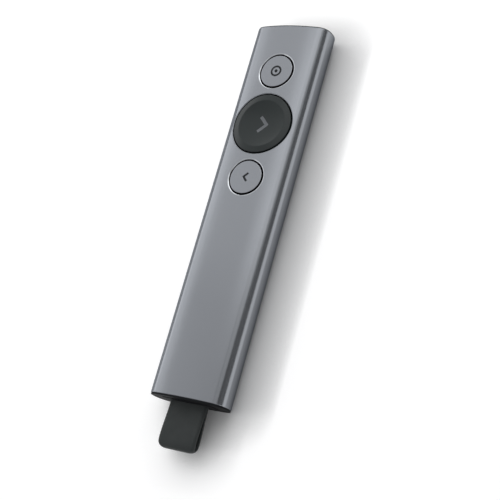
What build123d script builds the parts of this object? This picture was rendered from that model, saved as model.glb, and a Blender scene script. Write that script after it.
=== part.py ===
from build123d import *
from math import atan2, degrees, hypot, sqrt
import os

os.makedirs("parts", exist_ok=True)

# Presentation clicker. It lies along Y with its buttons up (+Z) and its nose towards +Y. The origin
# is at the middle of its outline, strap included, on the surface that it lies on. Millimetres.

# Handset, over both end caps
body_length = 131.3
body_width = 28.1
body_thickness = 12.1
crown_radius = 55.6        # flat arcs of the section, top and bottom
shoulder_radius = 4.0      # arcs that join crown and side
side_radius = 9.4
wall = 1.2
end_chamfer = 0.15

# End caps
nose_lip = 0.3             # how far each cap stands out of the tube
tail_lip = 0.55
cap_inset = 0.15           # cap outline inside the tube outline
cap_skirt = 2.6            # length inside the tube
cap_wall = 1.0
cap_face = 1.1             # thickness behind the tube's end
cap_fillet = 0.2
slip = 0.1                 # gap round what is slid into the tube

# Buttons, on the middle line
pointer_from_nose = 17.46
button_pitch = 19.37
small_radius = 5.75
next_margin = 3.6          # from the large cap's edge to the tube's side
small_gap = 0.65           # round a small cap, in its well
next_gap = 0.45
well_chamfer = 0.25
button_fillet = 0.12
flange_reach = 1.05        # past the cap
flange_thickness = 0.65
flange_gap = 0.2
stem_radius = 1.6
press_travel = 0.3
press_spare = 0.1          # what is left below a pressed button

# Thumb dish of the large button
next_crown_rise = 0.7      # peak of the cap's crown, which the dish takes away
dish_rim = 2.05            # between the dish and the cap's edge
dish_depth = 1.0           # bottom of the dish below the tube's top line
dish_clearing = 6.0        # height that is cleared above the dish

# Marks
mark_depth = 0.12
target_radius = 2.0
target_stroke = 0.66
target_dot_radius = 0.6
chevron_arm = 3.08         # outer edge of each arm, along X and along Y
chevron_stroke = 1.1
chevron_tip = 2.45         # from the button's centre
small_chevron_arm = 1.7
small_chevron_stroke = 0.72
small_chevron_tip = 1.15

# Button guide, switches and board
guide_thickness = 0.7
guide_inset = 2.35         # from the tube's side
guide_margin = 8.5         # past the outer two button centres
guide_clearance = 0.15
guide_leg_radius = 1.6
switch_side = 4.0
switch_height = 1.1
switch_clear = 0.1
plunger_radius = 1.0
plunger_clearance = 0.12
plunger_depth = 0.3        # part of the plunger inside its switch
board_thickness = 1.0
board_inset = 3.55         # from the tube's side
board_corner = 1.0
board_nose_gap = 2.3       # board end to chassis end
board_tail_gap = 2.1

# Screws
screw_radius = 0.8
screw_clearance = 0.05
screw_head_radius = 1.2
screw_head_height = 0.6
screw_cross_length = 1.3
screw_cross_width = 0.27
screw_cross_depth = 0.3
screw_grip = 2.2           # length inside the chassis
guide_screw_inset = 5.25   # from the tube's side
guide_screw_reach = 9.9    # from the large button's centre, along Y
board_screw_inset = 6.05
board_screw_ahead = 2.0    # from the motor's centre, towards the nose

# Chassis
chassis_floor = 2.3        # height of the pocket floors
rail_gap = 0.1
core_width = 12.0          # cored pockets under the buttons
core_rib = 2.0

# Battery
battery_width = 13.0
battery_corner = 1.0
battery_from_motor = 11.0  # tail end of the cell, from the motor's centre
battery_past_back = 10.9   # nose end of the cell, from the back button's centre
battery_clearance = 0.4    # under the board
battery_gap = 0.3
pad_thickness = 0.3
pad_margin = 2.0
lead_radius = 0.35
lead_spacing = 2.0
lead_bend = 1.0
lead_run = 3.2
lead_slot_width = 4.4
lead_slot_length = 2.0
plug_block = (4.4, 3.4, 1.7)

# Vibration motor
motor_radius = 4.0
motor_clearance = 0.45     # under the board
cradle_wall = 0.45
cradle_gap = 0.1
motor_from_bay = 17.2      # motor centre, from the inner end of the bay

# Charging socket at the inner end of the bay
socket_width = 8.94
socket_height = 3.26
socket_length = 7.35
socket_wall = 0.3
socket_gap = 0.2
tongue_width = 6.7
tongue_thickness = 0.7
tongue_length = 4.5

# Board parts: length along X, along Y and height, then place from the motor's centre
shield_size = (10.0, 9.0, 1.0)
control_size = (5.0, 5.0, 0.8)
control_place = (0.0, -2.5)
charger_size = (3.0, 3.0, 0.8)
charger_place = (-6.5, -3.9)
sensor_size = (3.0, 3.0, 0.9)
sensor_place = (7.5, 13.1)
antenna_size = (8.0, 2.0, 0.9)
antenna_from_end = 1.6

# Receiver, stowed in the tail
receiver_margin = 4.85     # from its side to the tube's side
receiver_thickness = 6.0
receiver_corner = 1.2
receiver_body_length = 12.9
receiver_proud = 0.2       # how far its end stands out of the tail cap
receiver_gap = 0.15
receiver_wall = 1.2
plug_width = 12.0
plug_height = 4.5
plug_corner = 0.6
plug_wall = 0.3
plug_length = 12.3
plug_socket_depth = 2.0    # plug shell inside the body
plug_tip_gap = 0.6
plug_window = 2.2
plug_window_spacing = 5.0
plug_window_from_tip = 5.5
blade_thickness = 1.9
blade_gap = 0.1
blade_from_tip = 0.5
contact_width = 1.0
contact_thickness = 0.15
contact_length = 8.0
contact_places = (-3.5, -1.0, 1.0, 3.5)
receiver_board_thickness = 0.6
receiver_board_length = 8.0
receiver_chip_size = (4.0, 4.0, 0.8)

# Pull strap
strap_reach = 15.3         # out of the tail cap
strap_width = 13.7
strap_thickness = 3.8
strap_layer = 1.15
strap_corner = 2.0
strap_anchor = 3.0         # inside the receiver
strap_pinch = 2.2          # from the tail cap to where its layers part
strap_gap = 0.05

# Places worked out from the sizes above
overall_length = body_length + strap_reach
tail_y = strap_reach - overall_length / 2
nose_y = tail_y + body_length
shell_tail = tail_y + tail_lip
shell_nose = nose_y - nose_lip
shell_length = shell_nose - shell_tail
half_width = body_width / 2
mid_z = body_thickness / 2
pointer_y = nose_y - pointer_from_nose
next_y = pointer_y - button_pitch
back_y = next_y - button_pitch
liner_inset = wall + slip

# Widths that follow the tube
next_radius = half_width - next_margin
next_flange_radius = next_radius + flange_reach
small_flange_radius = small_radius + flange_reach
dish_radius = next_radius - dish_rim
guide_width = body_width - 2 * guide_inset
board_width = body_width - 2 * board_inset
guide_screw_x = half_width - guide_screw_inset
board_screw_x = half_width - board_screw_inset
receiver_width = body_width - 2 * receiver_margin

# Section: centres of the crown and side arcs, then the shoulder arc that touches both
crown_drop = crown_radius - mid_z
side_centre = half_width - side_radius
crown_to_shoulder = crown_radius - shoulder_radius
side_to_shoulder = side_radius - shoulder_radius
centre_span = hypot(side_centre, crown_drop)
along_span = (crown_to_shoulder**2 - side_to_shoulder**2 + centre_span**2) / (2 * centre_span)
off_span = sqrt(crown_to_shoulder**2 - along_span**2)
shoulder_x = (side_centre * along_span + crown_drop * off_span) / centre_span
shoulder_z = (crown_drop * along_span - side_centre * off_span) / centre_span - crown_drop
crown_angle = degrees(atan2(shoulder_z + crown_drop, shoulder_x))
side_angle = degrees(atan2(shoulder_z, shoulder_x - side_centre))


def across(y):
    """Plane across the handset at y. Its normal points towards the tail."""
    return Plane(origin=(0, y, mid_z), x_dir=(1, 0, 0), z_dir=(0, -1, 0))


def oval(y, inset=0.0):
    """Section of the handset at y, moved inwards by inset."""
    with BuildSketch(across(y)) as section:
        with BuildLine():
            crown = CenterArc(
                (0, -crown_drop), crown_radius - inset, crown_angle, 180 - 2 * crown_angle
            )
            shoulder = CenterArc(
                (shoulder_x, shoulder_z), shoulder_radius - inset, side_angle, crown_angle - side_angle
            )
            side = CenterArc((side_centre, 0), side_radius - inset, -side_angle, 2 * side_angle)
            left_shoulder = mirror(shoulder, about=Plane.YZ)
            mirror(side, about=Plane.YZ)
            mirror([crown, shoulder, left_shoulder], about=Plane.XZ)
        make_face()
    return section.sketch


def skin_z(x, inset=0.0):
    """Height of the section's upper side at x, moved inwards by inset."""
    crown_height = crown_radius - inset
    over_crown = sqrt(crown_height**2 - x**2) - crown_drop
    shoulder_height = shoulder_radius - inset
    if abs(x) <= shoulder_x:
        return mid_z + over_crown
    over_shoulder = sqrt(max(shoulder_height**2 - (abs(x) - shoulder_x) ** 2, 0)) + shoulder_z
    return mid_z + min(over_crown, over_shoulder)


def bend_radius(reach, drop):
    """Radius of an arc that falls by drop over a distance reach from its middle."""
    return (reach**2 + drop**2) / (2 * drop)


def block(size, place, bottom):
    """Small plain block that stands on a surface at height bottom."""
    length_x, length_y, height = size
    with BuildPart() as part:
        with BuildSketch(Plane.XY.offset(bottom)):
            with Locations(place):
                Rectangle(length_x, length_y)
        extrude(amount=height)
    return part.part


def save(part, name):
    """Labels a finished piece and writes it."""
    part.label = name
    export_step(part, f"parts/{name}.step")


# Heights, worked down from the large button's flange
next_flange_top = skin_z(next_flange_radius, wall) - flange_gap
next_flange_bottom = next_flange_top - flange_thickness
small_flange_top = skin_z(small_flange_radius, wall) - flange_gap
small_flange_bottom = small_flange_top - flange_thickness
guide_top = next_flange_bottom - press_travel - press_spare
guide_bottom = guide_top - guide_thickness
switch_top = guide_bottom - switch_clear
board_top = switch_top - switch_height
board_bottom = board_top - board_thickness
stem_bottom = switch_top + press_travel + press_spare
plunger_bottom = switch_top - plunger_depth
battery_bottom = chassis_floor + pad_thickness
battery_thickness = board_bottom - battery_clearance - battery_bottom
motor_bottom = chassis_floor + cradle_wall
motor_height = board_bottom - motor_clearance - motor_bottom

# Places along the length
bay_tail = shell_tail + cap_skirt
plug_tip = tail_y + receiver_body_length + plug_length
bay_end = plug_tip + plug_tip_gap
chassis_tail = bay_end + slip
chassis_nose = shell_nose - cap_skirt - slip
board_nose = chassis_nose - board_nose_gap
board_tail = chassis_tail + board_tail_gap
motor_y = bay_end + motor_from_bay
battery_tail = motor_y + battery_from_motor
battery_nose = back_y + battery_past_back
battery_length = battery_nose - battery_tail
lead_turn = battery_tail - lead_run
pocket_tail = lead_turn - lead_slot_length / 2
pocket_nose = battery_nose + battery_gap
guide_screw_places = [
    (x, next_y + y)
    for x in (-guide_screw_x, guide_screw_x)
    for y in (-guide_screw_reach, guide_screw_reach)
]
board_screw_places = [(x, motor_y + board_screw_ahead) for x in (-board_screw_x, board_screw_x)]


# ---------------------------------------------------------------- body shell
# Extruded aluminium tube. Three wells are milled through its upper side, and a bright edge is cut
# round each well and round both ends.
with BuildPart() as body_shell:
    extrude(oval(shell_nose), amount=shell_length)
    outer_ends = edges().filter_by(Axis.Y, reverse=True)
    chamfer(outer_ends, length=end_chamfer)
    extrude(oval(shell_nose, wall), amount=shell_length, mode=Mode.SUBTRACT)
    for well_y, well_radius in (
        (pointer_y, small_radius + small_gap),
        (next_y, next_radius + next_gap),
        (back_y, small_radius + small_gap),
    ):
        with BuildSketch(Plane.XY.offset(mid_z)):
            with Locations((0, well_y)):
                Circle(well_radius)
        extrude(amount=body_thickness, mode=Mode.SUBTRACT)
        rim = edges(Select.LAST).filter_by(
            lambda edge: abs((edge @ 0.5).Z - skin_z((edge @ 0.5).X)) < well_chamfer / 2
        )
        chamfer(rim, length=well_chamfer)
save(body_shell.part, "body_shell")


# ---------------------------------------------------------------- nose cap
# Moulded cup that closes the button end and lets the radio signal through.
with BuildPart() as nose_cap:
    extrude(oval(nose_y, cap_inset), amount=nose_lip)
    fillet(edges().group_by(Axis.Y)[-1], radius=cap_fillet)
    extrude(oval(shell_nose, liner_inset), amount=cap_skirt)
    extrude(
        oval(shell_nose - cap_face, liner_inset + cap_wall),
        amount=cap_skirt - cap_face,
        mode=Mode.SUBTRACT,
    )
save(nose_cap.part, "nose_cap")


# ---------------------------------------------------------------- tail cap
# Moulded cap with the mouth that the receiver slides through.
with BuildPart() as tail_cap:
    extrude(oval(shell_tail, cap_inset), amount=tail_lip)
    fillet(edges().group_by(Axis.Y)[0], radius=cap_fillet)
    extrude(oval(bay_tail, liner_inset), amount=cap_skirt)
    with BuildSketch(across(bay_tail)):
        RectangleRounded(
            receiver_width + 2 * receiver_gap,
            receiver_thickness + 2 * receiver_gap,
            receiver_corner + receiver_gap,
        )
    extrude(amount=cap_skirt + tail_lip, mode=Mode.SUBTRACT)
save(tail_cap.part, "tail_cap")


# ---------------------------------------------------------------- receiver bay
# Moulded sleeve behind the tail cap: wide for the receiver's body, narrow for its plug.
with BuildPart() as receiver_bay:
    extrude(oval(bay_end, liner_inset), amount=bay_end - bay_tail)
    with BuildSketch(across(tail_y + receiver_body_length + receiver_gap)):
        RectangleRounded(
            receiver_width + 2 * receiver_gap,
            receiver_thickness + 2 * receiver_gap,
            receiver_corner + receiver_gap,
        )
    extrude(amount=receiver_body_length, mode=Mode.SUBTRACT)
    with BuildSketch(across(bay_end)):
        RectangleRounded(
            plug_width + 2 * receiver_gap,
            plug_height + 2 * receiver_gap,
            plug_corner + receiver_gap,
        )
    extrude(amount=bay_end - bay_tail, mode=Mode.SUBTRACT)
save(receiver_bay.part, "receiver_bay")


# ---------------------------------------------------------------- chassis
# Moulded tray that slides into the tube: rails beside the board, pockets under it.
with BuildPart() as chassis:
    extrude(oval(chassis_nose, liner_inset), amount=chassis_nose - chassis_tail)
    with BuildSketch(Plane.XY.offset(guide_bottom)):
        with Locations((0, (chassis_nose + chassis_tail) / 2)):
            Rectangle(body_width, body_length)
    extrude(amount=body_thickness, mode=Mode.SUBTRACT)
    with BuildSketch(Plane.XY.offset(board_bottom)):
        with Locations((0, (chassis_nose + chassis_tail) / 2)):
            Rectangle(board_width + 2 * rail_gap, body_length)
    extrude(amount=body_thickness, mode=Mode.SUBTRACT)
    with BuildSketch(Plane.XY.offset(chassis_floor)):
        with Locations((0, (pocket_tail + pocket_nose) / 2)):
            Rectangle(battery_width + 2 * battery_gap, pocket_nose - pocket_tail)
        with Locations((0, motor_y)):
            Circle(motor_radius + cradle_gap + cradle_wall + cradle_gap)
        core_length = (chassis_nose - pocket_nose - 3 * core_rib) / 2
        first_core = pocket_nose + core_rib + core_length / 2
        with Locations((0, first_core), (0, first_core + core_length + core_rib)):
            Rectangle(core_width, core_length)
    extrude(amount=body_thickness, mode=Mode.SUBTRACT)
    with BuildSketch(Plane.XY.offset(mid_z - socket_height / 2 - socket_gap)):
        with Locations((0, chassis_tail + socket_length / 2)):
            Rectangle(socket_width + 2 * socket_gap, socket_length + 2 * socket_gap)
    extrude(amount=body_thickness, mode=Mode.SUBTRACT)
    with Locations(*[(x, y, board_bottom) for x, y in guide_screw_places + board_screw_places]):
        Hole(screw_radius + screw_clearance, depth=screw_grip)
save(chassis.part, "chassis")


# ---------------------------------------------------------------- main board
# Long circuit board between the rails, notched round the charging socket and slotted for the leads.
with BuildPart() as main_board:
    with BuildSketch(Plane.XY.offset(board_bottom)):
        with Locations((0, (board_nose + board_tail) / 2)):
            RectangleRounded(board_width, board_nose - board_tail, board_corner)
        with Locations((0, (board_tail + bay_end + socket_length + socket_gap) / 2)):
            Rectangle(
                socket_width + 2 * socket_gap,
                bay_end + socket_length + socket_gap - board_tail,
                mode=Mode.SUBTRACT,
            )
        with Locations((0, lead_turn)):
            Rectangle(lead_slot_width, lead_slot_length, mode=Mode.SUBTRACT)
        with Locations(*guide_screw_places, *board_screw_places):
            Circle(screw_radius + screw_clearance, mode=Mode.SUBTRACT)
    extrude(amount=board_thickness)
save(main_board.part, "main_board")


# ---------------------------------------------------------------- button guide
# Plate on the rails that keeps the three stems upright. Four legs press the board down.
with BuildPart() as button_guide:
    with BuildSketch(Plane.XY.offset(guide_bottom)):
        with Locations((0, (back_y + pointer_y) / 2)):
            Rectangle(guide_width, pointer_y - back_y + 2 * guide_margin)
        with Locations((0, back_y), (0, next_y), (0, pointer_y)):
            Circle(stem_radius + guide_clearance, mode=Mode.SUBTRACT)
    extrude(amount=guide_thickness)
    with BuildSketch(Plane.XY.offset(board_top)):
        with Locations(*guide_screw_places):
            Circle(guide_leg_radius)
    extrude(amount=guide_bottom - board_top)
    with Locations(*[(x, y, guide_top) for x, y in guide_screw_places]):
        Hole(screw_radius + screw_clearance, depth=guide_top - board_top)
save(button_guide.part, "button_guide")


# ---------------------------------------------------------------- screws
# Small pan-head screws: four clamp guide, board and chassis, two hold the board's tail end.
def screws(places, seat):
    """Pan-head screws whose heads lie on a seat at this height."""
    with BuildPart() as group:
        with BuildSketch(Plane.XY.offset(seat)):
            with Locations(*places):
                Circle(screw_head_radius)
        extrude(amount=screw_head_height)
        fillet(edges().group_by(Axis.Z)[-1], radius=screw_head_height / 2)
        with BuildSketch(Plane.XY.offset(board_bottom - screw_grip)):
            with Locations(*places):
                Circle(screw_radius)
        extrude(amount=seat - board_bottom + screw_grip)
        with BuildSketch(Plane.XY.offset(seat + screw_head_height)):
            with Locations(*places):
                Rectangle(screw_cross_length, screw_cross_width)
                Rectangle(screw_cross_width, screw_cross_length)
        extrude(amount=-screw_cross_depth, mode=Mode.SUBTRACT)
    return group.part


save(screws(guide_screw_places, guide_top), "guide_screws")
save(screws(board_screw_places, board_top), "board_screws")


# ---------------------------------------------------------------- marks
# Paint-filled engravings of the two small buttons, and the inlaid chevron of the large one.
def chevron(arm, stroke, tip, y, heading):
    """Bent arrow of two arms at 45 degrees, its tip at a distance tip from the middle line's y."""
    cut = stroke / sqrt(2)
    with BuildSketch() as arrow:
        with Locations(Location((0, y, 0), (0, 0, heading))):
            with Locations((tip, 0)):
                Polygon(
                    (0, 0),
                    (-arm, arm),
                    (-arm - cut, arm - cut),
                    (-2 * cut, 0),
                    (-arm - cut, cut - arm),
                    (-arm, -arm),
                    align=None,
                )
    return arrow.sketch


def skin_inlay(outline):
    """Thin layer of the handset's upper skin under a flat outline."""
    with BuildPart() as inlay:
        extrude(outline, amount=2 * body_thickness)
        extrude(oval(shell_nose), amount=shell_length, mode=Mode.INTERSECT)
        extrude(oval(shell_nose, mark_depth), amount=shell_length, mode=Mode.SUBTRACT)
        keep_top = Plane.XY.offset(mid_z)
        split(bisect_by=keep_top)
    return inlay.part


with BuildSketch() as target:
    with Locations((0, pointer_y)):
        Circle(target_radius)
        Circle(target_radius - target_stroke, mode=Mode.SUBTRACT)
        Circle(target_dot_radius)
pointer_mark = skin_inlay(target.sketch)
save(pointer_mark, "pointer_mark")

back_mark = skin_inlay(
    chevron(small_chevron_arm, small_chevron_stroke, small_chevron_tip, back_y, 180)
)
save(back_mark, "back_mark")


# ---------------------------------------------------------------- small buttons
# Aluminium caps, turned flush with the tube, on a flange that stops them from inside and a stem.
def small_button(y, mark):
    """Cap, flange and stem of a small button, with the engraving for its mark."""
    with BuildPart() as button:
        with BuildSketch(Plane.XY.offset(small_flange_bottom)):
            with Locations((0, y)):
                Circle(small_radius)
        extrude(amount=body_thickness)
        extrude(oval(shell_nose), amount=shell_length, mode=Mode.INTERSECT)
        fillet(edges().group_by(Axis.Z)[-1], radius=button_fillet)
        with BuildSketch(Plane.XY.offset(small_flange_bottom)):
            with Locations((0, y)):
                Circle(small_flange_radius)
        extrude(amount=flange_thickness)
        with BuildSketch(Plane.XY.offset(stem_bottom)):
            with Locations((0, y)):
                Circle(stem_radius)
        extrude(amount=small_flange_bottom - stem_bottom)
        add(mark, mode=Mode.SUBTRACT)
    return button.part


save(small_button(pointer_y, pointer_mark), "pointer_button")
save(small_button(back_y, back_mark), "back_button")


# ---------------------------------------------------------------- large button
# Black moulded cap. Its crown meets the tube's skin at the rim, and a thumb dish is sunk in it.
crown_peak = body_thickness + next_crown_rise
crown_fall_x = crown_peak - skin_z(next_radius)
crown_bend_x = bend_radius(next_radius, crown_fall_x)
crown_bend_y = bend_radius(next_radius, next_crown_rise)


def crown_level(reach, bend):
    """Height of the crown at a distance from its peak, on an arc of radius bend."""
    return crown_peak - bend + sqrt(bend**2 - reach**2)


dish_bottom = body_thickness - dish_depth
dish_bend_x = bend_radius(dish_radius, crown_level(dish_radius, crown_bend_x) - dish_bottom)
dish_bend_y = bend_radius(dish_radius, crown_level(dish_radius, crown_bend_y) - dish_bottom)


def dish(sink):
    """Space above the thumb dish, lowered by sink: an arc across, swung along the length."""
    bottom = dish_bottom - sink
    swing_z = bottom + dish_bend_y
    top = bottom + dish_clearing
    with BuildPart() as space:
        with BuildSketch(Plane(origin=(0, next_y, 0), x_dir=(1, 0, 0), z_dir=(0, -1, 0))):
            with BuildLine():
                reach = next_radius
                edge_z = bottom + dish_bend_x - sqrt(dish_bend_x**2 - reach**2)
                ThreePointArc((-reach, edge_z), (0, bottom), (reach, edge_z))
                Polyline((reach, edge_z), (reach, top), (-reach, top), (-reach, edge_z))
            make_face()
        revolve(axis=Axis((0, next_y, swing_z), (1, 0, 0)))
    return space.part


with BuildPart() as next_chevron:
    extrude(chevron(chevron_arm, chevron_stroke, chevron_tip, next_y, 0), amount=body_thickness)
    add(dish(mark_depth), mode=Mode.INTERSECT)
    add(dish(0), mode=Mode.SUBTRACT)
save(next_chevron.part, "next_chevron")

with BuildPart() as next_button:
    with BuildSketch(Plane(origin=(0, next_y, 0), x_dir=(1, 0, 0), z_dir=(0, -1, 0))):
        with BuildLine():
            arc_reach = next_flange_radius
            arc_end = crown_level(arc_reach, crown_bend_x)
            ThreePointArc((-arc_reach, arc_end), (0, crown_peak), (arc_reach, arc_end))
            Polyline(
                (arc_reach, arc_end),
                (arc_reach, next_flange_bottom),
                (-arc_reach, next_flange_bottom),
                (-arc_reach, arc_end),
            )
        make_face()
    revolve(axis=Axis((0, next_y, crown_peak - crown_bend_y), (1, 0, 0)))
    with BuildSketch(Plane.XY.offset(next_flange_bottom)):
        with Locations((0, next_y)):
            Circle(next_radius)
    extrude(amount=body_thickness, mode=Mode.INTERSECT)
    fillet(edges().group_by(Axis.Z)[-1], radius=button_fillet)
    add(dish(0), mode=Mode.SUBTRACT)
    with BuildSketch(Plane.XY.offset(next_flange_bottom)):
        with Locations((0, next_y)):
            Circle(next_flange_radius)
    extrude(amount=flange_thickness)
    with BuildSketch(Plane.XY.offset(stem_bottom)):
        with Locations((0, next_y)):
            Circle(stem_radius)
    extrude(amount=next_flange_bottom - stem_bottom)
    add(next_chevron.part, mode=Mode.SUBTRACT)
save(next_button.part, "next_button")


# ---------------------------------------------------------------- switches
# Sealed snap switches on the board, each with a plunger that its button's stem presses.
for name, switch_y in (("pointer", pointer_y), ("next", next_y), ("back", back_y)):
    with BuildPart() as switch:
        with BuildSketch(Plane.XY.offset(board_top)):
            with Locations((0, switch_y)):
                Rectangle(switch_side, switch_side)
        extrude(amount=switch_height)
        with Locations((0, switch_y, switch_top)):
            Hole(
                plunger_radius + plunger_clearance,
                depth=plunger_depth + press_travel + press_spare,
            )
    save(switch.part, f"{name}_switch")
    with BuildPart() as plunger:
        with BuildSketch(Plane.XY.offset(plunger_bottom)):
            with Locations((0, switch_y)):
                Circle(plunger_radius)
        extrude(amount=stem_bottom - plunger_bottom)
    save(plunger.part, f"{name}_plunger")


# ---------------------------------------------------------------- battery
# Lithium-polymer pouch on a foam pad, with its lead pair and board plug.
battery_y = (battery_tail + battery_nose) / 2
pad_length = battery_length - pad_margin
pad_width = battery_width - pad_margin
save(
    block((pad_width, pad_length, pad_thickness), (0, battery_y), chassis_floor),
    "battery_pad",
)
with BuildPart() as battery_cell:
    with BuildSketch(Plane.XY.offset(battery_bottom)):
        with Locations((0, battery_y)):
            RectangleRounded(battery_width, battery_length, battery_corner)
    extrude(amount=battery_thickness)
    fillet(edges().group_by(Axis.Z)[-1] + edges().group_by(Axis.Z)[0], radius=battery_corner / 2)
save(battery_cell.part, "battery_cell")

plug_front = lead_turn - lead_slot_length
lead_low = battery_bottom + battery_thickness / 2
lead_high = board_top + plug_block[2] / 2
with BuildPart() as battery_leads:
    for lead_x in (-lead_spacing / 2, lead_spacing / 2):
        with BuildLine() as lead_line:
            FilletPolyline(
                (lead_x, battery_tail, lead_low),
                (lead_x, lead_turn, lead_low),
                (lead_x, lead_turn, lead_high),
                (lead_x, plug_front, lead_high),
                radius=lead_bend,
            )
        with BuildSketch(Plane(origin=(lead_x, battery_tail, lead_low), z_dir=(0, -1, 0))):
            Circle(lead_radius)
        sweep(path=lead_line.line)
save(battery_leads.part, "battery_leads")
save(block(plug_block, (0, plug_front - plug_block[1] / 2), board_top), "battery_plug")


# ---------------------------------------------------------------- vibration motor
# Coin motor pressed into a rubber cup in its chassis pocket.
cradle_radius = motor_radius + cradle_gap + cradle_wall
with BuildPart() as motor_cradle:
    with BuildSketch(Plane.XY.offset(chassis_floor)):
        with Locations((0, motor_y)):
            Circle(cradle_radius)
    extrude(amount=cradle_wall + motor_height / 2)
    with BuildSketch(Plane.XY.offset(motor_bottom)):
        with Locations((0, motor_y)):
            Circle(motor_radius + cradle_gap)
    extrude(amount=motor_height, mode=Mode.SUBTRACT)
save(motor_cradle.part, "motor_cradle")
with BuildPart() as vibration_motor:
    with BuildSketch(Plane.XY.offset(motor_bottom)):
        with Locations((0, motor_y)):
            Circle(motor_radius)
    extrude(amount=motor_height)
    fillet(edges().group_by(Axis.Z)[-1], radius=cradle_wall)
save(vibration_motor.part, "vibration_motor")


# ---------------------------------------------------------------- charging socket
# Reversible socket let into the board, its mouth at the inner end of the bay.
with BuildPart() as charging_socket:
    with BuildSketch(across(bay_end + socket_length)):
        SlotOverall(socket_width, socket_height)
        SlotOverall(
            socket_width - 2 * socket_wall,
            socket_height - 2 * socket_wall,
            mode=Mode.SUBTRACT,
        )
    extrude(amount=socket_length)
    with BuildSketch(across(bay_end + socket_length)):
        SlotOverall(socket_width, socket_height)
    extrude(amount=socket_wall)
save(charging_socket.part, "charging_socket")
with BuildPart() as socket_tongue:
    with BuildSketch(across(bay_end + socket_length - socket_wall)):
        Rectangle(tongue_width, tongue_thickness)
    extrude(amount=tongue_length)
save(socket_tongue.part, "socket_tongue")


# ---------------------------------------------------------------- board parts
# Chips near the motor and the sensor. The radio lies under its shield between two switches.
for name, size, place in (
    ("control_chip", control_size, control_place),
    ("charge_chip", charger_size, charger_place),
    ("motion_sensor", sensor_size, sensor_place),
):
    save(block(size, (place[0], motor_y + place[1]), board_top), name)
save(block(shield_size, (0, (back_y + next_y) / 2), board_top), "radio_shield")
save(block(antenna_size, (0, board_nose - antenna_from_end), board_top), "antenna")


# ---------------------------------------------------------------- receiver
# Moulded body that fills the mouth of the tail cap. It holds the plug shell and the strap's root.
receiver_end = tail_y - receiver_proud
receiver_front = tail_y + receiver_body_length
plug_root = receiver_front - plug_socket_depth
strap_slot = strap_anchor + strap_gap
with BuildPart() as receiver_body:
    with BuildSketch(across(receiver_front)):
        RectangleRounded(receiver_width, receiver_thickness, receiver_corner)
    extrude(amount=receiver_front - receiver_end)
    fillet(edges().group_by(Axis.Y)[0], radius=cap_fillet)
    with BuildSketch(across(receiver_front)):
        RectangleRounded(plug_width, plug_height, plug_corner)
    extrude(amount=plug_socket_depth, mode=Mode.SUBTRACT)
    with BuildSketch(across(plug_root)):
        Rectangle(plug_width - 2 * plug_wall, receiver_thickness - 2 * receiver_wall)
    extrude(amount=receiver_board_length, mode=Mode.SUBTRACT)
    with BuildSketch(across(tail_y + strap_slot)):
        Rectangle(strap_width + 2 * strap_gap, 2 * strap_layer + 2 * strap_gap)
    extrude(amount=strap_slot + 2 * receiver_proud, mode=Mode.SUBTRACT)
save(receiver_body.part, "receiver_body")

# Folded steel shell of the plug, with two windows above and two below
with BuildPart() as plug_shell:
    with BuildSketch(across(plug_tip)):
        RectangleRounded(plug_width, plug_height, plug_corner)
        RectangleRounded(
            plug_width - 2 * plug_wall,
            plug_height - 2 * plug_wall,
            plug_corner - plug_wall,
            mode=Mode.SUBTRACT,
        )
    extrude(amount=plug_tip - plug_root)
    with BuildSketch(Plane.XY):
        with Locations(
            (-plug_window_spacing / 2, plug_tip - plug_window_from_tip),
            (plug_window_spacing / 2, plug_tip - plug_window_from_tip),
        ):
            Rectangle(plug_window, plug_window)
    extrude(amount=body_thickness, mode=Mode.SUBTRACT)
save(plug_shell.part, "plug_shell")

# Insulating blade in the lower half of the plug, four contact strips on it
blade_bottom = mid_z - plug_height / 2 + plug_wall + blade_gap
blade_top = blade_bottom + blade_thickness
blade_tip = plug_tip - blade_from_tip
with BuildPart() as plug_blade:
    with BuildSketch(Plane.XY.offset(blade_bottom)):
        with Locations((0, (blade_tip + plug_root) / 2)):
            Rectangle(plug_width - 2 * plug_wall - 2 * blade_gap, blade_tip - plug_root)
    extrude(amount=blade_thickness)
save(plug_blade.part, "plug_blade")
with BuildPart() as plug_contacts:
    with BuildSketch(Plane.XY.offset(blade_top)):
        with Locations(*[(x, blade_tip - contact_length / 2 - blade_from_tip) for x in contact_places]):
            Rectangle(contact_width, contact_length)
    extrude(amount=contact_thickness)
save(plug_contacts.part, "plug_contacts")

# Radio board behind the blade
receiver_board_bottom = mid_z - receiver_board_thickness / 2
board_space = plug_width - 2 * plug_wall
with BuildPart() as receiver_board:
    with BuildSketch(Plane.XY.offset(receiver_board_bottom)):
        with Locations((0, plug_root - receiver_board_length / 2 + blade_gap)):
            Rectangle(board_space - 2 * blade_gap, receiver_board_length - 2 * blade_gap)
    extrude(amount=receiver_board_thickness)
save(receiver_board.part, "receiver_board")
save(
    block(
        receiver_chip_size,
        (0, plug_root - receiver_board_length / 2),
        receiver_board_bottom + receiver_board_thickness,
    ),
    "receiver_chip",
)


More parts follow.
